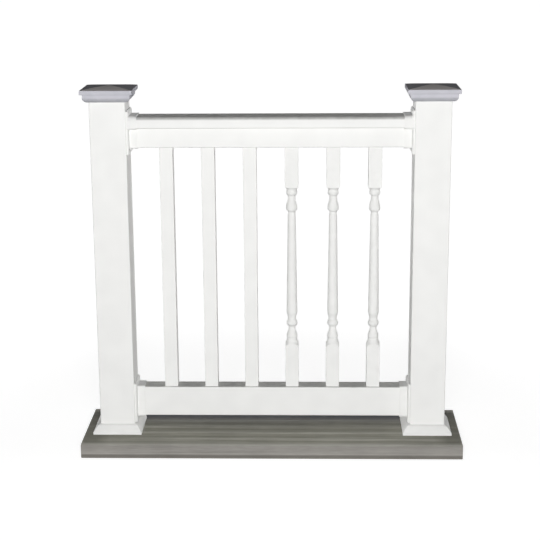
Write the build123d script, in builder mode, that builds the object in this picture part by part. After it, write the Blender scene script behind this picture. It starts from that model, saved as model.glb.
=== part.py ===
# A section of deck railing on two deck planks: two post sleeves with caps and skirts, a T-shaped top rail,
# a bottom rail, four brackets and six balusters, three plain and three turned.
# Sizes are in millimetres. X runs along the rail, Y points away from the viewer and Z is up.
import os

from build123d import *

os.makedirs("parts", exist_ok=True)

# Layout
post_span = 806.4          # clear distance between the posts
bottom_gap = 44.5          # deck surface to the underside of the bottom rail
baluster_show = 709.6      # baluster length seen between the rails
baluster_pitch = 118.3     # centre to centre along the rail
plain_count = 3
turned_count = 3
fit_gap = 0.3              # slip clearance round a piece that enters another

# Deck planks
plank_width = 152.2
plank_height = 44.5
plank_seam = 0.4           # joint between the two planks
plank_end = 45.0           # plank beyond the outer face of a post
plank_nose = 5.0           # radius along the upper outer edge
plank_foot = 12.0          # radius along the lower outer edge
scoop_count = 3            # shallow hollows that run along the walking surface
scoop_land = 10.8          # flat strip between two hollows
scoop_depth = 1.5

# Posts
post_width = 101.6
post_wall = 3.8
post_corner = 3.0
post_reveal = 43.5         # post seen between the top rail and its cap

# Rails
rail_height = 88.9
rail_width = 50.8
rail_wall = 2.6
rail_corner = 3.0
rail_end_gap = 0.8         # between the end of a rail and the post
handrail_width = 88.9
handrail_height = 31.8     # depth of the wide upper part of the top rail
handrail_round = 12.7
handrail_lip = 3.0

# Brackets
collar_length = 22.0       # collar beyond the flange
collar_wall = 2.8
flange_thick = 7.0
flange_bevel = 3.5
flange_width = 92.0
flange_above_top = 18.0    # top brackets: flange beyond the rail, above and below
flange_above_low = 15.5    # bottom brackets: the same
flange_corner = 4.0

# Skirts
skirt_reach = 20.0         # beyond the face of the post
skirt_wall = 2.6
skirt_lip = 7.0            # upright edge at the deck
skirt_shoulder = 7.0       # width of the flat shoulder next to the post
skirt_shoulder_drop = 3.5
skirt_top_gap = 1.0        # between the skirt and the flange above it

# Caps
cap_reach = 22.5           # eave beyond the face of the post
cap_fascia = 12.0
cap_edge = 1.5             # radius along both edges of the fascia
cap_step = 7.0             # frieze set in from the eave
cap_frieze = 8.0
cap_lip = 0.8              # lower edge of the cap outside the post
cap_rise = 8.0             # height of the low pyramid
cap_bulge = 1.2            # how far the middle of its slope stands above a straight line
cap_roof = 4.0             # cap material above the top of the post

# Balusters
baluster_width = 38.1
baluster_wall = 2.0
baluster_corner = 1.6
baluster_into_top = 25.4   # length hidden in the top rail

# Turned part of a baluster, named from the square block below to the square block above
low_block = 120.0          # square block above the bottom rail, up to where its corners start to round
foot_shoulder = 26.0       # square to round
foot_radius = 14.6         # groove above the shoulder
bell_foot = 3.0            # short flare under the bell
bell_radius = 15.8
bell_height = 27.0
waist_radius = 9.9
waist_height = 4.2
bead_radius = 15.9
bead_height = 19.9
cove_radius = 12.0
cove_height = 4.9
swell_height = 20.0
swell_radius = 15.7        # thickest part of the tapered shaft
shaft_end_radius = 11.4
throat_height = 6.0
throat_radius = 10.4
ledge_height = 7.5
ledge_radius = 15.4
belly_height = 7.5
belly_radius = 16.1
vase_height = 27.5
neck_radius = 11.0
neck_height = 6.3
ring_height = 16.2
ring_radius = 15.5
head_radius = 14.5         # groove under the head
head_cove = 9.3            # quarter-round hollow under the upper block
high_block = 116.7         # square block below the top rail

# Heights above the ground
deck_top = plank_height
bottom_rail_z = deck_top + bottom_gap
bottom_rail_top = bottom_rail_z + rail_height
top_rail_z = bottom_rail_top + baluster_show
top_rail_top = top_rail_z + rail_height
cap_z = top_rail_top + post_reveal
cap_ovolo = cap_reach - cap_step - fit_gap - cap_lip
cap_skirt = cap_ovolo + cap_frieze
cap_seat = cap_skirt + cap_fascia - cap_roof
post_top = cap_z + cap_seat
post_x = (post_span + post_width) / 2
skirt_height = bottom_gap - flange_above_low - skirt_top_gap
baluster_count = plain_count + turned_count
baluster_xs = [(i - (baluster_count - 1) / 2) * baluster_pitch for i in range(baluster_count)]
rail_length = post_span - 2 * rail_end_gap
slot_width = baluster_width + 2 * fit_gap


def save(piece, name):
    piece.label = name
    export_step(piece, f"parts/{name}.step")


# Deck plank: a ribbed board with its outer long edge towards the viewer
def deck_plank():
    length = post_span + 2 * post_width + 2 * plank_end
    scoop_pitch = plank_width / scoop_count
    scoop_width = scoop_pitch - scoop_land
    scoop_radius = (scoop_width ** 2 / 4 + scoop_depth ** 2) / (2 * scoop_depth)
    scoop_ys = [(i - (scoop_count - 1) / 2) * scoop_pitch for i in range(scoop_count)]
    with BuildPart() as plank:
        with BuildSketch(Plane.YZ):
            with Locations((0, plank_height / 2)):
                Rectangle(plank_width, plank_height)
            with Locations(*[(y, plank_height - scoop_depth + scoop_radius) for y in scoop_ys]):
                Circle(scoop_radius, mode=Mode.SUBTRACT)
        extrude(amount=length / 2, both=True)
        outer = plank.edges().filter_by(Axis.X).group_by(Axis.Y)[0]
        fillet(outer.sort_by(Axis.Z)[-1], radius=plank_nose)
        outer = plank.edges().filter_by(Axis.X).group_by(Axis.Y)[0]
        fillet(outer.sort_by(Axis.Z)[0], radius=plank_foot)
    return plank.part


# Post sleeve: a square tube with rounded corners
def post_sleeve():
    with BuildPart() as sleeve:
        with BuildSketch(Plane.XY.offset(deck_top)):
            RectangleRounded(post_width, post_width, post_corner)
            Rectangle(post_width - 2 * post_wall, post_width - 2 * post_wall, mode=Mode.SUBTRACT)
        extrude(amount=post_top - deck_top)
    return sleeve.part


# Section of the cap, seen from the side: quarter-round ovolo, frieze, eave and the slope of the low pyramid
def cap_section():
    eave = post_width / 2 + cap_reach
    frieze = eave - cap_step
    eave_z = cap_skirt + cap_fascia
    peak_z = eave_z + cap_rise
    with BuildSketch() as section:
        with BuildLine():
            Line((0, 0), (frieze - cap_ovolo, 0))
            CenterArc((frieze - cap_ovolo, cap_ovolo), cap_ovolo, start_angle=270, arc_size=90)
            Polyline((frieze, cap_ovolo), (frieze, cap_skirt), (eave, cap_skirt), (eave, eave_z))
            ThreePointArc((eave, eave_z), (eave / 2, eave_z + cap_rise / 2 + cap_bulge), (0, peak_z))
            Line((0, peak_z), (0, 0))
        make_face()
        fillet(section.vertices().group_by(Axis.X)[-1], radius=cap_edge)
        mirror(about=Plane.YZ)
    return section.sketch


# Moulding round a square: its section is run both ways and kept where the two meet, which mitres the corners
def mitred(section):
    run = 2 * post_width
    with BuildPart() as moulding:
        with BuildSketch(Plane.XZ):
            add(section)
        extrude(amount=run, both=True)
        with BuildSketch(Plane.YZ):
            add(section)
        extrude(amount=run, both=True, mode=Mode.INTERSECT)
    return moulding.part


# Post cap: a mitred moulding with a pocket that slips over the top of the post
def post_cap():
    with BuildPart() as cap:
        add(mitred(cap_section()))
        with BuildSketch(Plane.XY):
            RectangleRounded(post_width + 2 * fit_gap, post_width + 2 * fit_gap, post_corner)
        extrude(amount=cap_seat, mode=Mode.SUBTRACT)
    return cap.part


# Section of the skirt, seen from the side: an upright lip, a slope and a shoulder against the post
def skirt_section():
    face = post_width / 2
    with BuildSketch() as section:
        with BuildLine():
            Polyline(
                (0, 0),
                (face + skirt_reach, 0),
                (face + skirt_reach, skirt_lip),
                (face + skirt_shoulder, skirt_height - skirt_shoulder_drop),
                (face, skirt_height),
                (0, skirt_height),
                (0, 0),
            )
        make_face()
        mirror(about=Plane.YZ)
    return section.sketch


# Post skirt: a mitred moulding round the foot of the post, hollow underneath
def post_skirt():
    inner = offset(skirt_section(), amount=-skirt_wall, kind=Kind.INTERSECTION)
    with BuildPart() as skirt:
        add(mitred(skirt_section()))
        add(Pos(0, 0, -skirt_wall) * mitred(inner), mode=Mode.SUBTRACT)
        with BuildSketch(Plane.XY):
            RectangleRounded(post_width + 2 * fit_gap, post_width + 2 * fit_gap, post_corner)
        extrude(amount=skirt_height, mode=Mode.SUBTRACT)
    return skirt.part


# Outline of the top rail, seen from its end: a rounded handrail over a narrower stem
def top_rail_section():
    with BuildSketch() as section:
        with Locations((0, rail_height - handrail_height / 2)):
            hand = Rectangle(handrail_width, handrail_height)
        fillet(section.vertices().group_by(Axis.Y)[-1], radius=handrail_round)
        fillet(section.vertices().group_by(Axis.Y)[0], radius=handrail_lip)
        with Locations((0, rail_height / 2)):
            Rectangle(rail_width, rail_height)
        fillet(section.vertices().group_by(Axis.Y)[0], radius=rail_corner)
    return section.sketch


# Outline of the bottom rail, seen from its end
def bottom_rail_section():
    with BuildSketch() as section:
        with Locations((0, rail_height / 2)):
            RectangleRounded(rail_width, rail_height, rail_corner)
    return section.sketch


# Hollow rail from an outline, with a square slot for each baluster through the wall at slot_z
def rail(outline, slot_z):
    with BuildPart() as body:
        with BuildSketch(Plane.YZ):
            add(outline)
            offset(outline, amount=-rail_wall, kind=Kind.INTERSECTION, mode=Mode.SUBTRACT)
        extrude(amount=rail_length / 2, both=True)
        with BuildSketch(Plane.XY.offset(slot_z)):
            with Locations(*[(x, 0) for x in baluster_xs]):
                Rectangle(slot_width, slot_width)
        extrude(amount=2 * rail_wall, both=True, mode=Mode.SUBTRACT)
    return body.part


# Bracket for the left end of a rail: a flange on the post and a collar round the rail
def bracket(outline, beyond):
    tall = rail_height + 2 * beyond
    with BuildPart() as body:
        with BuildSketch(Plane.YZ):
            with Locations((0, rail_height / 2)):
                RectangleRounded(flange_width, tall, flange_corner)
        extrude(amount=flange_thick)
        rim = body.faces().sort_by(Axis.X)[-1].edges()
        chamfer(rim, length=flange_bevel)
        with BuildSketch(Plane.YZ):
            offset(outline, amount=fit_gap + collar_wall, kind=Kind.INTERSECTION)
        extrude(amount=flange_thick + collar_length)
        with BuildSketch(Plane.YZ):
            offset(outline, amount=fit_gap, kind=Kind.INTERSECTION)
        extrude(amount=flange_thick + collar_length, mode=Mode.SUBTRACT)
    return body.part


# Plain baluster: a square tube that stands on the floor of the bottom rail
def plain_baluster():
    foot = bottom_rail_z + rail_wall
    with BuildPart() as tube:
        with BuildSketch(Plane.XY.offset(foot)):
            RectangleRounded(baluster_width, baluster_width, baluster_corner)
            inner = baluster_width - 2 * baluster_wall
            Rectangle(inner, inner, mode=Mode.SUBTRACT)
        extrude(amount=top_rail_z + baluster_into_top - foot)
    return tube.part


# Double curve between two points, upright at both ends and made of two arcs that meet half-way
def cyma(start, end):
    middle = ((start[0] + end[0]) / 2, (start[1] + end[1]) / 2)
    TangentArc(start, middle, tangent=(0, 1))
    TangentArc(end, middle, tangent=(0, -1))


# Turned outline of a baluster, as radius and height, from the foot of the bar to its head
def turned_outline(foot, head):
    blank = baluster_width
    corner = (blank, bottom_rail_top + low_block)
    groove = (foot_radius, corner[1] + foot_shoulder)
    bell = (bell_radius, groove[1] + bell_foot)
    waist = (waist_radius, bell[1] + bell_height)
    bead_foot = (waist_radius, waist[1] + waist_height)
    bead_middle = (bead_radius, bead_foot[1] + bead_height / 2)
    bead_head = (cove_radius, bead_foot[1] + bead_height)
    cove = (cove_radius, bead_head[1] + cove_height)
    swell = (swell_radius, cove[1] + swell_height)
    block_z = top_rail_z - high_block
    hollow = (head_radius + head_cove, block_z)
    ring_head = (head_radius, block_z - head_cove)
    ring_middle = (ring_radius, ring_head[1] - ring_height / 2)
    ring_foot = (neck_radius, ring_head[1] - ring_height)
    neck = (neck_radius, ring_foot[1] - neck_height)
    belly = (belly_radius, neck[1] - vase_height)
    ledge = (ledge_radius, belly[1] - belly_height)
    throat = (throat_radius, ledge[1] - ledge_height)
    shaft_end = (shaft_end_radius, throat[1] - throat_height)
    with BuildSketch() as outline:
        with BuildLine():
            Polyline((0, foot), (blank, foot), corner)
            TangentArc(groove, corner, tangent=(0, -1))
            Line(groove, bell)
            cyma(bell, waist)
            Line(waist, bead_foot)
            ThreePointArc(bead_foot, bead_middle, bead_head)
            Line(bead_head, cove)
            cyma(cove, swell)
            Polyline(swell, shaft_end, throat)
            TangentArc(throat, ledge, tangent=(0, 1))
            TangentArc(belly, ledge, tangent=(0, -1))
            cyma(belly, neck)
            Line(neck, ring_foot)
            ThreePointArc(ring_foot, ring_middle, ring_head)
            TangentArc(ring_head, hollow, tangent=(0, 1))
            Polyline(hollow, (blank, block_z), (blank, head), (0, head), (0, foot))
        make_face()
    return outline.sketch


# Turned baluster: a square bar kept where it meets the turned outline, as a lathe leaves it
def turned_baluster():
    foot = bottom_rail_z + rail_wall
    head = top_rail_z + baluster_into_top
    with BuildPart() as turned:
        with BuildSketch(Plane.XZ):
            add(turned_outline(foot, head))
        revolve(axis=Axis.Z)
        with BuildSketch(Plane.XY.offset(foot)):
            RectangleRounded(baluster_width, baluster_width, baluster_corner)
        extrude(amount=head - foot, mode=Mode.INTERSECT)
    return turned.part


# Deck planks: the back one is the front one turned about the vertical axis
plank = deck_plank()
plank_y = (plank_width + plank_seam) / 2
save(Pos(0, -plank_y, 0) * plank, "front_deck_plank")
save(Pos(0, plank_y, 0) * Rot(0, 0, 180) * plank, "back_deck_plank")

# Posts with their caps and skirts
for side, x in (("left", -post_x), ("right", post_x)):
    save(Pos(x, 0, 0) * post_sleeve(), f"{side}_post")
    save(Pos(x, 0, cap_z) * post_cap(), f"{side}_post_cap")
    save(Pos(x, 0, deck_top) * post_skirt(), f"{side}_post_skirt")

# Rails, slotted underneath at the top and on the upper side at the bottom
save(Pos(0, 0, top_rail_z) * rail(top_rail_section(), 0), "top_rail")
save(Pos(0, 0, bottom_rail_z) * rail(bottom_rail_section(), rail_height), "bottom_rail")

# Brackets: the right ones are the left ones turned about the vertical axis
for level, z, outline, beyond in (
    ("top", top_rail_z, top_rail_section(), flange_above_top),
    ("bottom", bottom_rail_z, bottom_rail_section(), flange_above_low),
):
    piece = bracket(outline, beyond)
    save(Pos(-post_span / 2, 0, z) * piece, f"{level}_left_bracket")
    save(Pos(post_span / 2, 0, z) * Rot(0, 0, 180) * piece, f"{level}_right_bracket")

# Balusters: plain ones on the left, turned ones on the right
for i, x in enumerate(baluster_xs):
    if i < plain_count:
        save(Pos(x, 0, 0) * plain_baluster(), f"square_baluster_{i + 1}")
    else:
        save(Pos(x, 0, 0) * turned_baluster(), f"turned_baluster_{i + 1 - plain_count}")
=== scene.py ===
# %% [markdown]
# # A deck railing section
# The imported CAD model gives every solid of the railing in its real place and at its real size: two post
# sleeves with caps and skirts, two rails with brackets, three square and three turned balusters, and the two
# deck planks they stand on. This lesson dresses that model for a picture. It gives each piece the finish of
# its real material, models the embossed planks again with Geometry Nodes, and sets up a plain studio.

# %% Load the frame
import math

import bpy
from mathutils import Euler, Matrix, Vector


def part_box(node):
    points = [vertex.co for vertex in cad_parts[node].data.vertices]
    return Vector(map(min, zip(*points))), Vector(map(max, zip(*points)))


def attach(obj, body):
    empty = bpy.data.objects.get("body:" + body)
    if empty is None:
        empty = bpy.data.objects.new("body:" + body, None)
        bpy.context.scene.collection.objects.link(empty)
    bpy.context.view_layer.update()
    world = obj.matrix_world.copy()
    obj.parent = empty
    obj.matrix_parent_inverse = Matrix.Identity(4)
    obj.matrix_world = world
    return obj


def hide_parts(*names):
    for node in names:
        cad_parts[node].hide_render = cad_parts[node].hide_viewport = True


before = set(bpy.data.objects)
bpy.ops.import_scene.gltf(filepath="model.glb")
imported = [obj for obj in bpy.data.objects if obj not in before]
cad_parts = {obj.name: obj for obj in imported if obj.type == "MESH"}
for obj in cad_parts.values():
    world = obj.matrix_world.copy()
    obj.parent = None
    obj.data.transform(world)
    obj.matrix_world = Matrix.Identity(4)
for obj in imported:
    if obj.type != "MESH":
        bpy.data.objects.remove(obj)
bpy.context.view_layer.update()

# %% [markdown]
# ## Three helpers
# Colours are written as sRGB hex values, as on a paint chart, and one function turns them to linear light.
# Another adds one node to a tree, with its settings and the links into it, and gives back one of its outputs.
# An input is named by its label, or by _ and its number where a label repeats. The third helper starts an
# empty material.

# %% Helpers for colours, nodes and materials
def linear(hex_colour):
    values = [int(hex_colour[i:i + 2], 16) / 255 for i in (1, 3, 5)]
    return [v / 12.92 if v <= 0.04045 else ((v + 0.055) / 1.055) ** 2.4 for v in values] + [1.0]


def add(tree, kind, settings=None, out=0, **inputs):
    node = tree.nodes.new(kind)
    for name, value in (settings or {}).items():
        setattr(node, name, value)
    for name, value in inputs.items():
        socket = node.inputs[int(name[1:]) if name[0] == "_" else name.replace("_", " ")]
        if isinstance(value, bpy.types.NodeSocket):
            tree.links.new(value, socket)
        else:
            socket.default_value = value
    return node.outputs[out] if node.outputs else node


def new_material(name):
    material = bpy.data.materials.new(name)
    material.use_nodes = True
    material.node_tree.nodes.clear()
    return material, material.node_tree


MM = 0.001
# A Mix node for colours takes its factor at input 0 and its colours at 6 and 7, and gives output 2
RGBA = {"data_type": "RGBA"}
SOFT_STEP = {"interpolation_type": "SMOOTHSTEP"}
PLUS = {"operation": "ADD"}
MINUS = {"operation": "SUBTRACT"}
TIMES = {"operation": "MULTIPLY"}
OVER = {"operation": "DIVIDE"}
LARGER = {"operation": "MAXIMUM"}
SIZE_OF = {"operation": "ABSOLUTE"}
# Noise keeps to the middle of the range from 0 to 1, and these ends stretch it, smooth noise more
SMOOTH_NOISE = {"From_Min": 0.35, "From_Max": 0.65}
ROUGH_NOISE = {"From_Min": 0.3, "From_Max": 0.7}
print("White vinyl in linear light:", [round(v, 3) for v in linear("#F4F4F2")])

# %% [markdown]
# ## Extruded vinyl
# Posts, rails and square balusters are rigid PVC, pressed hot through a die and cut to length. The resin is
# full of white pigment, so it is opaque and nearly neutral. The die leaves fine lines along the piece, and
# cooling leaves a slow waviness that only a low light shows. An image of such a wall would not follow the
# piece from every side, so the lines are noise in Object coordinates, stretched along the extrusion: one
# material for upright pieces, one for the rails. Outdoors the foot of a post picks up dust. Painted shade
# greys the faces that point up, such as the tops of the rails, and the faces underneath.

# %% Material: extruded white vinyl
DIE_LINE_WIDTH = 3.0 * MM      # real lines are finer, and this is as coarse as a close view needs
DIE_LINE_LENGTH = 420.0 * MM
WAVE_LENGTH = 70.0 * MM
DUST_PATCH = 18.0 * MM
DUST_HEIGHT = 60.0 * MM
LINE_DEPTH = 0.12 * MM
WAVE_DEPTH = 1.2 * MM
DUST_MOST = 0.1
# Least and most painted shade on the faces that point up
TOP_SHADE_LEAST, TOP_SHADE_MOST = 0.42, 0.56
# Most painted shade on the undersides
UNDER_SHADE_MOST = 0.5
VINYL_IOR = 1.53
deck_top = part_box("front_deck_plank")[1][2]


# To the eye: an even satin white, with a faint sheen that runs the long way
def extruded_vinyl(name, line_scale):
    material, tree = new_material(name)
    place = add(tree, "ShaderNodeTexCoord", out="Object")
    along = add(tree, "ShaderNodeMapping", Vector=place, Scale=line_scale)
    lines = add(tree, "ShaderNodeTexNoise", Vector=along, Scale=1.0, Detail=2.0)
    wave = add(tree, "ShaderNodeTexNoise", Vector=place, Scale=1 / WAVE_LENGTH, Detail=1.0)
    patches = add(tree, "ShaderNodeTexNoise", Vector=place, Scale=1 / DUST_PATCH, Detail=3.0)
    # Pigment is mixed well but not perfectly, so the white drifts a little
    tone = add(tree, "ShaderNodeMapRange", Value=wave, **SMOOTH_NOISE)
    white = add(tree, "ShaderNodeMix", RGBA, 2, _0=tone, _6=linear("#F5F5F3"), _7=linear("#F2F2F0"))
    # Dust thins out with height above the deck, in patches
    height = add(tree, "ShaderNodeSeparateXYZ", out="Z", Vector=place)
    low = add(tree, "ShaderNodeMapRange", SOFT_STEP, Value=height, From_Min=deck_top,
              From_Max=deck_top + DUST_HEIGHT, To_Min=DUST_MOST, To_Max=0.0)
    dust = add(tree, "ShaderNodeMath", TIMES, _0=low, _1=patches)
    dusty = add(tree, "ShaderNodeMix", RGBA, 2, _0=dust, _6=white, _7=linear("#C9C4B6"))
    # Painted shade on what faces up, running over the rounded edges of the rails, in patches
    normal = add(tree, "ShaderNodeNewGeometry", out="Normal")
    facing = add(tree, "ShaderNodeSeparateXYZ", out="Z", Vector=normal)
    up = add(tree, "ShaderNodeMapRange", Value=facing, From_Min=0.3, From_Max=0.62)
    thick = add(tree, "ShaderNodeMapRange", Value=patches, **ROUGH_NOISE,
                To_Min=TOP_SHADE_LEAST, To_Max=TOP_SHADE_MOST)
    top_shade = add(tree, "ShaderNodeMath", TIMES, _0=up, _1=thick)
    # Painted shade greys the undersides
    under_shade = add(tree, "ShaderNodeMapRange", Value=facing, From_Min=-0.8, From_Max=-0.5,
                 To_Min=UNDER_SHADE_MOST, To_Max=0.0)
    painted_shade = add(tree, "ShaderNodeMath", LARGER, _0=top_shade, _1=under_shade)
    # Faces up and faces down take the grey of the painted shade
    colour = add(tree, "ShaderNodeMix", RGBA, 2, _0=painted_shade, _6=dusty, _7=linear("#8A8985"))
    gloss = add(tree, "ShaderNodeMapRange", Value=lines, To_Min=0.56, To_Max=0.7)
    waviness = add(tree, "ShaderNodeBump", Strength=0.15, Distance=WAVE_DEPTH, Height=wave)
    relief = add(tree, "ShaderNodeBump", Strength=0.1, Distance=LINE_DEPTH, Height=lines, Normal=waviness)
    shader = add(tree, "ShaderNodeBsdfPrincipled", Base_Color=colour, Roughness=gloss, Normal=relief,
                 IOR=VINYL_IOR, Specular_IOR_Level=0.05)
    add(tree, "ShaderNodeOutputMaterial", Surface=shader)
    return material


across, lengthwise = 1 / DIE_LINE_WIDTH, 1 / DIE_LINE_LENGTH
upright_vinyl = extruded_vinyl("extruded_vinyl_upright", (across, across, lengthwise))
rail_vinyl = extruded_vinyl("extruded_vinyl_rail", (lengthwise, across, across))
print("Made", upright_vinyl.name, "and", rail_vinyl.name)

# %% [markdown]
# ## Moulded vinyl
# Brackets, skirts and turned balusters are injection-moulded. The steel mould was spark-eroded, which leaves
# a fine even stipple instead of lines, so this finish is a small round noise in all three directions. The
# caps come from another mould in a cooler, greyer and duller white, and painted light shows on them most. The
# normal of the surface decides where: a painted highlight on the front slope, painted shade on the other
# slopes, and painted shade in blotches underneath.

# %% Material: moulded vinyl
STIPPLE = 1.6 * MM             # real stipple is about a quarter of this, too fine for a close view to show
MARBLING = 45.0 * MM
UNDER_SHADE_SPOT = 22.0 * MM
STIPPLE_DEPTH = 0.15 * MM
BLOTCH_LEAST, BLOTCH_MOST = 0.25, 0.4
ROUGH_SPREAD = 0.08
LIGHT_FROM = (0.0, -0.5, 0.87)        # direction from which the painted light falls, in front of and above the railing


# To the eye: a soft white without direction, and on the caps a dull grey with painted light and shade from
# slope to slope
# The setting after the two colours scales the painted light and shade on tops and undersides
def moulded_vinyl(name, light, dark, painted_shading, rough, gleam):
    material, tree = new_material(name)
    place = add(tree, "ShaderNodeTexCoord", out="Object")
    stipple = add(tree, "ShaderNodeTexNoise", Vector=place, Scale=1 / STIPPLE, Detail=1.0)
    flow = add(tree, "ShaderNodeTexNoise", Vector=place, Scale=1 / MARBLING, Detail=2.0, Distortion=0.6)
    tone = add(tree, "ShaderNodeMapRange", Value=flow, **SMOOTH_NOISE)
    plain = add(tree, "ShaderNodeMix", RGBA, 2, _0=tone, _6=linear(light), _7=linear(dark))
    # Tops: a painted highlight on the front slope, painted shade on the others
    normal = add(tree, "ShaderNodeNewGeometry", out="Normal")
    facing = add(tree, "ShaderNodeSeparateXYZ", out="Z", Vector=normal)
    to_light = add(tree, "ShaderNodeVectorMath", {"operation": "DOT_PRODUCT"}, "Value", _0=normal, _1=LIGHT_FROM)
    lit_slope = add(tree, "ShaderNodeMapRange", Value=to_light, From_Min=0.87, From_Max=0.9)
    painted_slopes = add(tree, "ShaderNodeMix", RGBA, 2, _0=lit_slope, _6=linear("#ABAAAF"), _7=linear("#E2DDDC"))
    up = add(tree, "ShaderNodeMapRange", Value=facing, From_Min=0.8, From_Max=0.95, To_Max=painted_shading)
    slope_shaded = add(tree, "ShaderNodeMix", RGBA, 2, _0=up, _6=plain, _7=painted_slopes)
    # Undersides: painted shade in blotches
    under = add(tree, "ShaderNodeMapRange", Value=facing, From_Min=-0.35, From_Max=-0.05,
                To_Min=painted_shading, To_Max=0.0)
    spots = add(tree, "ShaderNodeTexNoise", Vector=place, Scale=1 / UNDER_SHADE_SPOT, Detail=4.0)
    blotch = add(tree, "ShaderNodeMapRange", Value=spots, **ROUGH_NOISE,
                 To_Min=BLOTCH_LEAST, To_Max=BLOTCH_MOST)
    under_shade = add(tree, "ShaderNodeMath", TIMES, _0=under, _1=blotch)
    # Undersides take the grey of the painted shade
    colour = add(tree, "ShaderNodeMix", RGBA, 2, _0=under_shade, _6=slope_shaded, _7=linear("#7C8082"))
    gloss = add(tree, "ShaderNodeMapRange", Value=stipple,
                To_Min=rough - ROUGH_SPREAD, To_Max=rough + ROUGH_SPREAD)
    relief = add(tree, "ShaderNodeBump", Strength=0.12, Distance=STIPPLE_DEPTH, Height=stipple)
    shader = add(tree, "ShaderNodeBsdfPrincipled", Base_Color=colour, Roughness=gloss, Normal=relief,
                 IOR=VINYL_IOR, Specular_IOR_Level=gleam)
    add(tree, "ShaderNodeOutputMaterial", Surface=shader)
    return material


white_moulding = moulded_vinyl("moulded_vinyl_white", "#F4F4F2", "#F0F0EE",
                               painted_shading=0.2, rough=0.6, gleam=0.05)
cap_moulding = moulded_vinyl("moulded_vinyl_cap", "#C9C8CF", "#C2C2C9",
                             painted_shading=1.0, rough=0.85, gleam=0.0)
print("Made", white_moulding.name, "and", cap_moulding.name)

# %% [markdown]
# ## Deck composite
# The planks are wood flour in grey plastic, extruded. The walking side is embossed and weathered: dark
# streaks of fibre run along the board and soil stays in the hollows. The boards are darker outside the posts
# and paler along their outer edges, and the edges turn darker near the floor under a pale line. Behind the
# lower rail a painted shadow darkens the deck. The sawn ends show the raw mix. A picture of a board would
# repeat along the deck, so each of these is a mask worked out from where a point lies and which way it faces.
# The board's own node tree, further on, stores how deep each point lies in the relief, and this finish reads
# that attribute, so the soil follows the shape.

# %% Material: weathered deck composite
STREAK_WIDTH = 11.0 * MM
STREAK_LENGTH = 330.0 * MM
FIBRE_WIDTH = 1.6 * MM         # real fibres are finer, and this is as coarse as they need to be to show
FIBRE_LENGTH = 34.0 * MM
STAIN = 120.0 * MM
SAW_MARK_WIDTH = 3.0 * MM
SAW_MARK_LENGTH = 25.0 * MM
STEP_HEIGHT = 17.0 * MM           # height on the edge below which the edge turns darker
STEP_FADE = 5.0 * MM
LINE_ABOVE = 1.5 * MM           # middle of the pale line, above that height
LINE_CORE = 0.5 * MM
LINE_HALF = 2.5 * MM
RAIL_SHADOW_START = 12.0 * MM        # how far behind the middle of the rail the painted shadow starts
RAIL_SHADOW_FULL = 90.0 * MM
EDGE_BAND = 32.0 * MM
END_DARKENING = 80.0 * MM          # darkening starts this far from the end of a board and is full at half of it
SEAM_HALF = 0.2 * MM           # half the gap between the boards
FIBRE_DEPTH = 0.35 * MM
SOIL_MOST = 0.55
# Darkest share of the painted shadow behind the lower rail
RAIL_SHADOW_MOST = 0.9
END_DARK_MOST = 0.8
LINE_MOST = 0.6
PALE_RIM_MOST = 0.6
BACK_BOARD_LEVEL = 0.9
deck_end, deck_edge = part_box("back_deck_plank")[1][:2]
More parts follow.
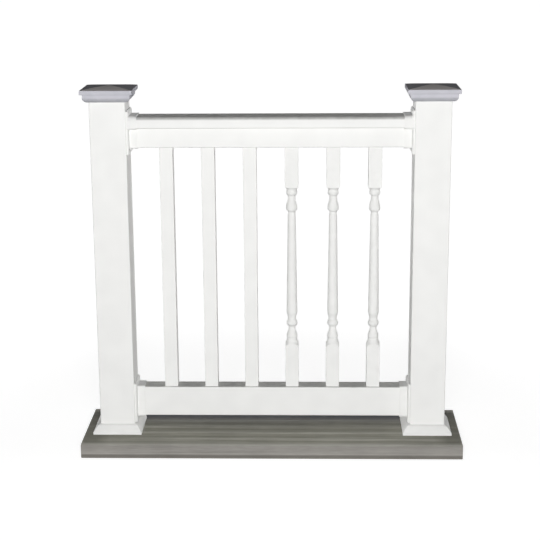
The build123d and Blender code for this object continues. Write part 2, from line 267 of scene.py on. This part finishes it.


# To the eye: a dull grey-khaki, streaked the long way, darker where dirt stays, paler along the outer edges,
# with a painted shadow behind the lower rail
def deck_composite():
    material, tree = new_material("weathered_deck_composite")
    place = add(tree, "ShaderNodeTexCoord", out="Object")
    along = add(tree, "ShaderNodeSeparateXYZ", out="X", Vector=place)
    away = add(tree, "ShaderNodeSeparateXYZ", out="Y", Vector=place)
    height = add(tree, "ShaderNodeSeparateXYZ", out="Z", Vector=place)
    normal = add(tree, "ShaderNodeNewGeometry", out="Normal")
    long_grain = (1 / STREAK_LENGTH, 1 / STREAK_WIDTH, 1 / STREAK_WIDTH)
    short_grain = (1 / FIBRE_LENGTH, 1 / FIBRE_WIDTH, 1 / FIBRE_WIDTH)
    long_map = add(tree, "ShaderNodeMapping", Vector=place, Scale=long_grain)
    short_map = add(tree, "ShaderNodeMapping", Vector=place, Scale=short_grain)
    streaks = add(tree, "ShaderNodeTexNoise", Vector=long_map, Scale=1.0, Detail=3.0)
    fibres = add(tree, "ShaderNodeTexNoise", Vector=short_map, Scale=1.0, Detail=2.0)
    streak = add(tree, "ShaderNodeMapRange", Value=streaks, From_Min=0.38, From_Max=0.64)
    # Walking side: streaks, and soil in the hollows
    grained = add(tree, "ShaderNodeMix", RGBA, 2, _0=streak, _6=linear("#8A897F"), _7=linear("#9F9E95"))
    hollow = add(tree, "ShaderNodeAttribute", {"attribute_name": "hollow"}, "Fac")
    soil = add(tree, "ShaderNodeMath", TIMES, _0=hollow, _1=SOIL_MOST)
    trodden = add(tree, "ShaderNodeMix", RGBA, 2, _0=soil, _6=grained, _7=linear("#6C6B5E"))
    # Painted shadow of the lower rail, bluish, thinning out towards the back edge
    shadow_onset = add(tree, "ShaderNodeMapRange", Value=away, From_Min=RAIL_SHADOW_START, From_Max=RAIL_SHADOW_FULL,
              To_Max=RAIL_SHADOW_MOST)
    rear = add(tree, "ShaderNodeMapRange", Value=away, From_Min=deck_edge - EDGE_BAND, From_Max=deck_edge,
               To_Min=1.0, To_Max=0.25)
    rail_shadow = add(tree, "ShaderNodeMath", TIMES, _0=shadow_onset, _1=rear)
    shadowed = add(tree, "ShaderNodeMix", RGBA, 2, _0=rail_shadow, _6=trodden, _7=linear("#4A4A50"))
    # Darker towards both ends of the boards, outside the posts
    from_middle = add(tree, "ShaderNodeMath", SIZE_OF, _0=along)
    corner = add(tree, "ShaderNodeMapRange", Value=from_middle, From_Min=deck_end - END_DARKENING,
                 From_Max=deck_end - END_DARKENING / 2, To_Max=END_DARK_MOST)
    darker_ends = add(tree, "ShaderNodeMix", RGBA, 2, _0=corner, _6=shadowed, _7=linear("#6A6960"))
    # Edges: the grey of a new board, a pale line, and darker below it
    side_grey = add(tree, "ShaderNodeMix", RGBA, 2, _0=streak, _6=linear("#9C9994"), _7=linear("#A6A39E"))
    facing = add(tree, "ShaderNodeSeparateXYZ", out="Z", Vector=normal)
    up = add(tree, "ShaderNodeMapRange", Value=facing, From_Min=0.45, From_Max=0.95)
    board_side = add(tree, "ShaderNodeMix", RGBA, 2, _0=up, _6=side_grey, _7=darker_ends)
    below_step = add(tree, "ShaderNodeMapRange", Value=height, From_Min=STEP_HEIGHT - STEP_FADE, From_Max=STEP_HEIGHT,
               To_Min=1.0, To_Max=0.0)
    darker_below = add(tree, "ShaderNodeMix", RGBA, 2, _0=below_step, _6=board_side, _7=linear("#7F7C76"))
    over_line = add(tree, "ShaderNodeMath", MINUS, _0=height, _1=STEP_HEIGHT + LINE_ABOVE)
    from_line = add(tree, "ShaderNodeMath", SIZE_OF, _0=over_line)
    pale_line = add(tree, "ShaderNodeMapRange", Value=from_line, From_Min=LINE_CORE, From_Max=LINE_HALF,
              To_Min=LINE_MOST, To_Max=0.0)
    lined = add(tree, "ShaderNodeMix", RGBA, 2, _0=pale_line, _6=darker_below, _7=linear("#B5B2AC"))
    # Paler along the outer edges of the walking side
    outward = add(tree, "ShaderNodeMath", SIZE_OF, _0=away)
    rim = add(tree, "ShaderNodeMapRange", Value=outward, From_Min=deck_edge - EDGE_BAND,
              From_Max=deck_edge - EDGE_BAND / 4, To_Max=PALE_RIM_MOST)
    pale_rim = add(tree, "ShaderNodeMath", TIMES, _0=rim, _1=up)
    rimmed = add(tree, "ShaderNodeMix", RGBA, 2, _0=pale_rim, _6=lined, _7=linear("#B4B2AB"))
    # Sawn ends: darker, with upright saw marks
    endways = add(tree, "ShaderNodeSeparateXYZ", out="X", Vector=normal)
    either_end = add(tree, "ShaderNodeMath", SIZE_OF, _0=endways)
    end = add(tree, "ShaderNodeMapRange", Value=either_end, From_Min=0.8, From_Max=0.95)
    saw_scale = (0.0, 1 / SAW_MARK_WIDTH, 1 / SAW_MARK_LENGTH)
    saw_map = add(tree, "ShaderNodeMapping", Vector=place, Scale=saw_scale)
    saw = add(tree, "ShaderNodeTexNoise", Vector=saw_map, Scale=1.0, Detail=2.0)
    sawn = add(tree, "ShaderNodeMix", RGBA, 2, _0=saw, _6=linear("#6F6C65"), _7=linear("#8B8881"))
    body = add(tree, "ShaderNodeMix", RGBA, 2, _0=end, _6=rimmed, _7=sawn)
    # Fibres and slow stains lighten and darken all of it, and the back board is a little darker
    fleck = add(tree, "ShaderNodeMapRange", Value=fibres, **ROUGH_NOISE, To_Min=0.9, To_Max=1.05)
    stains = add(tree, "ShaderNodeTexNoise", Vector=place, Scale=1 / STAIN, Detail=3.0)
    stain = add(tree, "ShaderNodeMapRange", Value=stains, **ROUGH_NOISE, To_Min=0.9, To_Max=1.06)
    back_board = add(tree, "ShaderNodeMapRange", Value=away, From_Min=-SEAM_HALF, From_Max=SEAM_HALF,
                To_Min=1.0, To_Max=BACK_BOARD_LEVEL)
    uneven = add(tree, "ShaderNodeMath", TIMES, _0=fleck, _1=stain)
    level = add(tree, "ShaderNodeMath", TIMES, _0=uneven, _1=back_board)
    colour = add(tree, "ShaderNodeVectorMath", {"operation": "SCALE"}, Vector=body, Scale=level)
    gloss = add(tree, "ShaderNodeMapRange", Value=fibres, To_Min=0.72, To_Max=0.9)
    relief = add(tree, "ShaderNodeBump", Strength=0.5, Distance=FIBRE_DEPTH, Height=fibres)
    shader = add(tree, "ShaderNodeBsdfPrincipled", Base_Color=colour, Roughness=gloss, Normal=relief,
                 IOR=1.5, Specular_IOR_Level=0.15, Diffuse_Roughness=1.0)
    add(tree, "ShaderNodeOutputMaterial", Surface=shader)
    return material


composite = deck_composite()
print("Made", composite.name, "with", len(composite.node_tree.nodes), "nodes")

# %% [markdown]
# ## The embossed planks
# A deck plank is an extrusion too: one outline run along its length, with wide shallow hollows pressed into
# the walking side and a wood-grain relief rolled in while it is soft. A box with a bump map would keep a
# straight edge where the relief meets the light. So a node tree runs the outline along the board and then
# lowers the points of the upper side, and every size is a named input of the tree.

# %% Node tree: the outline of a board, run along its length
GRID_ALONG = 8.0 * MM
GRID_ACROSS = 1.2 * MM
EDGE_STEPS = 8
board_sizes = {
    "Length": 1.0, "Width": 0.15, "Height": 0.04, "Nose": 5.0 * MM, "Foot": 12.0 * MM, "Arris": 1.2 * MM,
    "Scoop Pitch": 0.05, "Scoop Land": 10.8 * MM, "Scoop Depth": 1.5 * MM, "Grain Depth": 0.5 * MM,
    "Seed": 1.0, "Turn": 0.0, "Middle Y": 0.0, "Middle Z": 0.0,
}
board = bpy.data.node_groups.new("ribbed_board", "GeometryNodeTree")
board.interface.new_socket("Geometry", in_out="OUTPUT", socket_type="NodeSocketGeometry")
for name in board_sizes:
    board.interface.new_socket(name, in_out="INPUT", socket_type="NodeSocketFloat")
board.interface.new_socket("Finish", in_out="INPUT", socket_type="NodeSocketMaterial")
given = board.nodes.new("NodeGroupInput").outputs

near_x = add(board, "ShaderNodeMath", TIMES, _0=given["Length"], _1=-0.5)
far_x = add(board, "ShaderNodeMath", TIMES, _0=given["Length"], _1=0.5)
near_end = add(board, "ShaderNodeCombineXYZ", X=near_x)
far_end = add(board, "ShaderNodeCombineXYZ", X=far_x)
line = add(board, "GeometryNodeCurvePrimitiveLine", Start=near_end, End=far_end)
run = add(board, "GeometryNodeResampleCurve", {"mode": "LENGTH"}, Curve=line, Length=GRID_ALONG)

# The outline is drawn with its outer side at +X and its upper side at -Y, as the run along +X turns it
oblong = add(board, "GeometryNodeCurvePrimitiveQuadrilateral", Width=given["Width"], Height=given["Height"])
spot = add(board, "GeometryNodeInputPosition")
spot_x = add(board, "ShaderNodeSeparateXYZ", out="X", Vector=spot)
spot_y = add(board, "ShaderNodeSeparateXYZ", out="Y", Vector=spot)
outer = add(board, "FunctionNodeCompare", {"operation": "GREATER_THAN"}, A=spot_x, B=0.0)
upper = add(board, "FunctionNodeCompare", {"operation": "LESS_THAN"}, A=spot_y, B=0.0)
FLOATS = {"input_type": "FLOAT"}
edge = add(board, "GeometryNodeSwitch", FLOATS, Switch=upper, _1=given["Foot"], _2=given["Nose"])
ease = add(board, "GeometryNodeSwitch", FLOATS, Switch=outer, _1=given["Arris"], _2=edge)
eased = add(board, "GeometryNodeFilletCurve", {"mode": "POLY"}, Curve=oblong, Count=EDGE_STEPS, Radius=ease)
outline = add(board, "GeometryNodeResampleCurve", {"mode": "LENGTH"}, Curve=eased, Length=GRID_ACROSS)
bar = add(board, "GeometryNodeCurveToMesh", Curve=run, Profile_Curve=outline, Fill_Caps=True)
print("Board tree so far:", len(board.nodes), "nodes")

# %% Node tree: the depth of hollows and grain
GRAIN_WIDTH = 6.0 * MM
GRAIN_LENGTH = 160.0 * MM
half_pitch = add(board, "ShaderNodeMath", TIMES, _0=given["Scoop Pitch"], _1=0.5)
minus_half = add(board, "ShaderNodeMath", TIMES, _0=given["Scoop Pitch"], _1=-0.5)
half_land = add(board, "ShaderNodeMath", TIMES, _0=given["Scoop Land"], _1=0.5)
half_scoop = add(board, "ShaderNodeMath", MINUS, _0=half_pitch, _1=half_land)
off_middle = add(board, "ShaderNodeMath", {"operation": "WRAP"}, _0=spot_y, _1=half_pitch, _2=minus_half)
share = add(board, "ShaderNodeMath", OVER, _0=off_middle, _1=half_scoop)
square = add(board, "ShaderNodeMath", TIMES, _0=share, _1=share)
bowl = add(board, "ShaderNodeMath", {"operation": "SUBTRACT", "use_clamp": True}, _0=1.0, _1=square)
scoop = add(board, "ShaderNodeMath", TIMES, _0=bowl, _1=given["Scoop Depth"])

grain_scale = (1 / GRAIN_LENGTH, 1 / GRAIN_WIDTH, 1 / GRAIN_WIDTH)
shift = add(board, "ShaderNodeCombineXYZ", X=given["Seed"], Y=given["Seed"], Z=given["Seed"])
grain_place = add(board, "ShaderNodeVectorMath", {"operation": "MULTIPLY_ADD"},
                  _0=spot, _1=grain_scale, _2=shift)
ridges = add(board, "ShaderNodeTexNoise", Vector=grain_place, Scale=1.0, Detail=2.0, Distortion=0.3)
pressed = add(board, "ShaderNodeMapRange", Value=ridges, **SMOOTH_NOISE)
grain = add(board, "ShaderNodeMath", TIMES, _0=pressed, _1=given["Grain Depth"])

normal = add(board, "GeometryNodeInputNormal")
facing = add(board, "ShaderNodeSeparateXYZ", out="Z", Vector=normal)
walked = add(board, "ShaderNodeMapRange", Value=facing, From_Min=0.75, From_Max=0.98)
depth = add(board, "ShaderNodeMath", PLUS, _0=scoop, _1=grain)
drop = add(board, "ShaderNodeMath", TIMES, _0=depth, _1=walked)
print("Hollows and grain bring it to", len(board.nodes), "nodes")

# %% Node tree: emboss the board, lay it and dress it
deepest = add(board, "ShaderNodeMath", PLUS, _0=given["Scoop Depth"], _1=given["Grain Depth"])
hollow = add(board, "ShaderNodeMath", OVER, _0=drop, _1=deepest)
FLOAT_POINTS = {"data_type": "FLOAT", "domain": "POINT"}
marked = add(board, "GeometryNodeStoreNamedAttribute", FLOAT_POINTS,
             Geometry=bar, Name="hollow", Value=hollow)
fall = add(board, "ShaderNodeMath", TIMES, _0=drop, _1=-1.0)
offset = add(board, "ShaderNodeCombineXYZ", Z=fall)
embossed = add(board, "GeometryNodeSetPosition", Geometry=marked, Offset=offset)
middle = add(board, "ShaderNodeCombineXYZ", Y=given["Middle Y"], Z=given["Middle Z"])
turn = add(board, "ShaderNodeCombineXYZ", Z=given["Turn"])
laid = add(board, "GeometryNodeTransform", Geometry=embossed, Translation=middle, Rotation=turn)
real = add(board, "GeometryNodeRealizeInstances", Geometry=laid)
dressed = add(board, "GeometryNodeSetMaterial", Geometry=real, Material=given["Finish"])
add(board, "NodeGroupOutput", Geometry=dressed)
print("Whole board tree:", len(board.nodes), "nodes")

# %% Make both planks
SCOOPS = 3
SHARP_EDGE = math.radians(40)


def lay_plank(node, seed, turn_by):
    low, high = [Vector(corner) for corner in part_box(node)]
    size, centre = high - low, (high + low) / 2
    values = dict(board_sizes, Length=size.x, Width=size.y, Height=size.z, Seed=seed, Turn=turn_by)
    values.update({"Scoop Pitch": size.y / SCOOPS, "Middle Y": centre.y, "Middle Z": centre.z})
    values["Finish"] = composite
    carrier = bpy.data.objects.new("carrier", bpy.data.meshes.new("carrier"))
    bpy.context.scene.collection.objects.link(carrier)
    modifier = carrier.modifiers.new("board", "NODES")
    modifier.node_group = board
    for item in board.interface.items_tree:
        if item.in_out == "INPUT":
            modifier[item.identifier] = values[item.name]
    graph = bpy.context.evaluated_depsgraph_get()
    mesh = bpy.data.meshes.new_from_object(carrier.evaluated_get(graph))
    bpy.data.objects.remove(carrier)
    mesh.shade_smooth()
    mesh.set_sharp_from_angle(angle=SHARP_EDGE)
    plank = bpy.data.objects.new("embossed_" + node, mesh)
    bpy.context.scene.collection.objects.link(plank)
    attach(plank, "root")
    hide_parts(node)
    print(plank.name, "has", len(mesh.polygons), "faces")


# The back board is the same extrusion, turned so that its rounded edge is outside too
lay_plank("front_deck_plank", 3.0, 0.0)
lay_plank("back_deck_plank", 8.0, math.pi)

# %% [markdown]
# ## Dress the solids
# The other pieces already have the right shape, so they keep their CAD meshes and only get a finish. The
# name of a node says what it is: rails take the lines along the rail, posts and square balusters the upright
# ones, and what comes out of a mould takes the stipple.

# %% Finish for each node
def finish_for(name):
    if name.endswith("_cap"):
        return cap_moulding
    if name.endswith("_rail"):
        return rail_vinyl
    if name.endswith("_post") or name.startswith("square_baluster"):
        return upright_vinyl
    return white_moulding


for name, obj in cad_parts.items():
    if not name.endswith("_plank"):
        obj.data.materials.clear()
        obj.data.materials.append(finish_for(name))
        print(name, "is", finish_for(name).name)

# %% [markdown]
# ## Camera
# The camera was solved from the edges of the posts, rails and planks in the photograph: it stands 3.9 m in
# front of the rail and 1.5 m above the ground, a hand's breadth right of the middle, and looks down a little.

# %% Camera
IMAGE_SIDE = 540
FOCAL_PX = 1392.06
SENSOR_WIDTH = 36.0
STANDPOINT = (0.10699, -3.89912, 1.52789)
cam_data = bpy.data.cameras.new("camera")
cam_data.sensor_width = SENSOR_WIDTH
cam_data.lens = FOCAL_PX * SENSOR_WIDTH / IMAGE_SIDE
camera = bpy.data.objects.new("camera", cam_data)
bpy.context.scene.collection.objects.link(camera)
camera.location = STANDPOINT
yaw, pitch, roll = -0.0285, 0.2514, -0.0069
look = Euler((math.pi / 2 - pitch, 0, -yaw)).to_matrix() @ Euler((0, 0, roll)).to_matrix()
camera.rotation_euler = look.to_euler()
bpy.context.scene.camera = camera
print("Lens", round(cam_data.lens, 1), "mm")

# %% [markdown]
# ## Floor and surroundings
# The object stands on a plain pale floor that runs out into white. What the camera sees of the floor glows
# almost white by itself, a little less near the object, so that its shadow still shows there. For all other
# rays the surroundings are a soft white band at the horizon, brighter behind the object, under a dark
# ceiling. Every upright side gets light, and tops of rails and caps stay dark, as they are in the photograph.

# %% Floor
FLOOR_HALF = 30.0
FLOOR_DROP = 0.5 * MM
floor_mesh = bpy.data.meshes.new("floor")
corners = [(x * FLOOR_HALF, y * FLOOR_HALF, 0.0) for x, y in ((-1, -1), (1, -1), (1, 1), (-1, 1))]
floor_mesh.from_pydata(corners, [], [(0, 1, 2, 3)])
floor = bpy.data.objects.new("floor", floor_mesh)
floor.location.z = -FLOOR_DROP
bpy.context.scene.collection.objects.link(floor)
print("Floor is", 2 * FLOOR_HALF, "m wide")

# %% Material: pale floor
NEAR, FAR = 0.7, 1.6           # metres from the middle of the object over which the floor turns white
NEAR_GLOW = 0.88


def seen_by_camera(tree):
    path = tree.nodes.new("ShaderNodeLightPath").outputs
    mirrored = add(tree, "ShaderNodeMath", LARGER, _0=path["Is Glossy Ray"], _1=path["Is Transmission Ray"])
    return add(tree, "ShaderNodeMath", LARGER, _0=path["Is Camera Ray"], _1=mirrored)


pale_floor, tree = new_material("pale_floor")
seen = seen_by_camera(tree)
place = add(tree, "ShaderNodeTexCoord", out="Object")
distance = add(tree, "ShaderNodeVectorMath", {"operation": "LENGTH"}, "Value", _0=place)
fade = add(tree, "ShaderNodeMapRange", SOFT_STEP, Value=distance, From_Min=NEAR, From_Max=FAR,
           To_Min=NEAR_GLOW, To_Max=1.0)
glow = add(tree, "ShaderNodeMath", TIMES, _0=seen, _1=fade)
own_light = add(tree, "ShaderNodeEmission", Color=(1, 1, 1, 1), Strength=glow)
matt = add(tree, "ShaderNodeBsdfDiffuse", Color=linear("#A8A8A8"))
both = add(tree, "ShaderNodeAddShader", _0=own_light, _1=matt)
add(tree, "ShaderNodeOutputMaterial", Surface=both)
floor.data.materials.append(pale_floor)
print("Made", pale_floor.name)

# %% World
BAND_FRONT = 2.0
BAND_BACK = 13.0
BAND_TOP = 0.15                # sine of the angle above the horizon where the band ends
BAND_TURN = -0.3               # heading, as its part along Y, from which the band grows brighter
CEILING = 0.02
world = bpy.data.worlds.new("studio")
bpy.context.scene.world = world
world.use_nodes = True
tree = world.node_tree
tree.nodes.clear()
seen = seen_by_camera(tree)
heading = add(tree, "ShaderNodeTexCoord", out="Generated")
behind = add(tree, "ShaderNodeSeparateXYZ", out="Y", Vector=heading)
above = add(tree, "ShaderNodeSeparateXYZ", out="Z", Vector=heading)
rise = add(tree, "ShaderNodeMath", SIZE_OF, _0=above)
around = add(tree, "ShaderNodeMapRange", Value=behind, From_Min=BAND_TURN,
             To_Min=BAND_FRONT, To_Max=BAND_BACK)
band = add(tree, "ShaderNodeMapRange", SOFT_STEP, Value=rise, From_Max=BAND_TOP,
           To_Min=around, To_Max=CEILING)
strength = add(tree, "ShaderNodeMix", {"data_type": "FLOAT"}, _0=seen, _2=band, _3=1.0)
sky = add(tree, "ShaderNodeBackground", Color=(1, 1, 1, 1), Strength=strength)
add(tree, "ShaderNodeOutputWorld", Surface=sky)
bpy.context.scene.view_settings.view_transform = "Standard"
print("Band of light from", BAND_FRONT, "to", BAND_BACK, "under a ceiling of", CEILING)

# %% [markdown]
# ## Lamps
# A wide softbox stands behind the camera at its height, where a flash on the camera would be, so fronts are
# bright and tops are not. A weaker one near the floor evens out the lower rail and the skirts.

# %% Lamps
def softbox(name, place, aim, size, watts):
    data = bpy.data.lights.new(name, "AREA")
    data.shape = "RECTANGLE"
    data.size, data.size_y = size
    data.energy = watts
    lamp = bpy.data.objects.new(name, data)
    lamp.location = place
    lamp.rotation_euler = (Vector(aim) - Vector(place)).to_track_quat("-Z", "Y").to_euler()
    bpy.context.scene.collection.objects.link(lamp)
    print(name, watts, "W")


softbox("camera_softbox", place=(0.1, -4.1, 1.55), aim=(0, 0, 0.5), size=(1.2, 0.4), watts=103)
softbox("low_softbox", place=(0.1, -4.1, 0.35), aim=(0, 0, 0.2), size=(1.2, 0.3), watts=31)
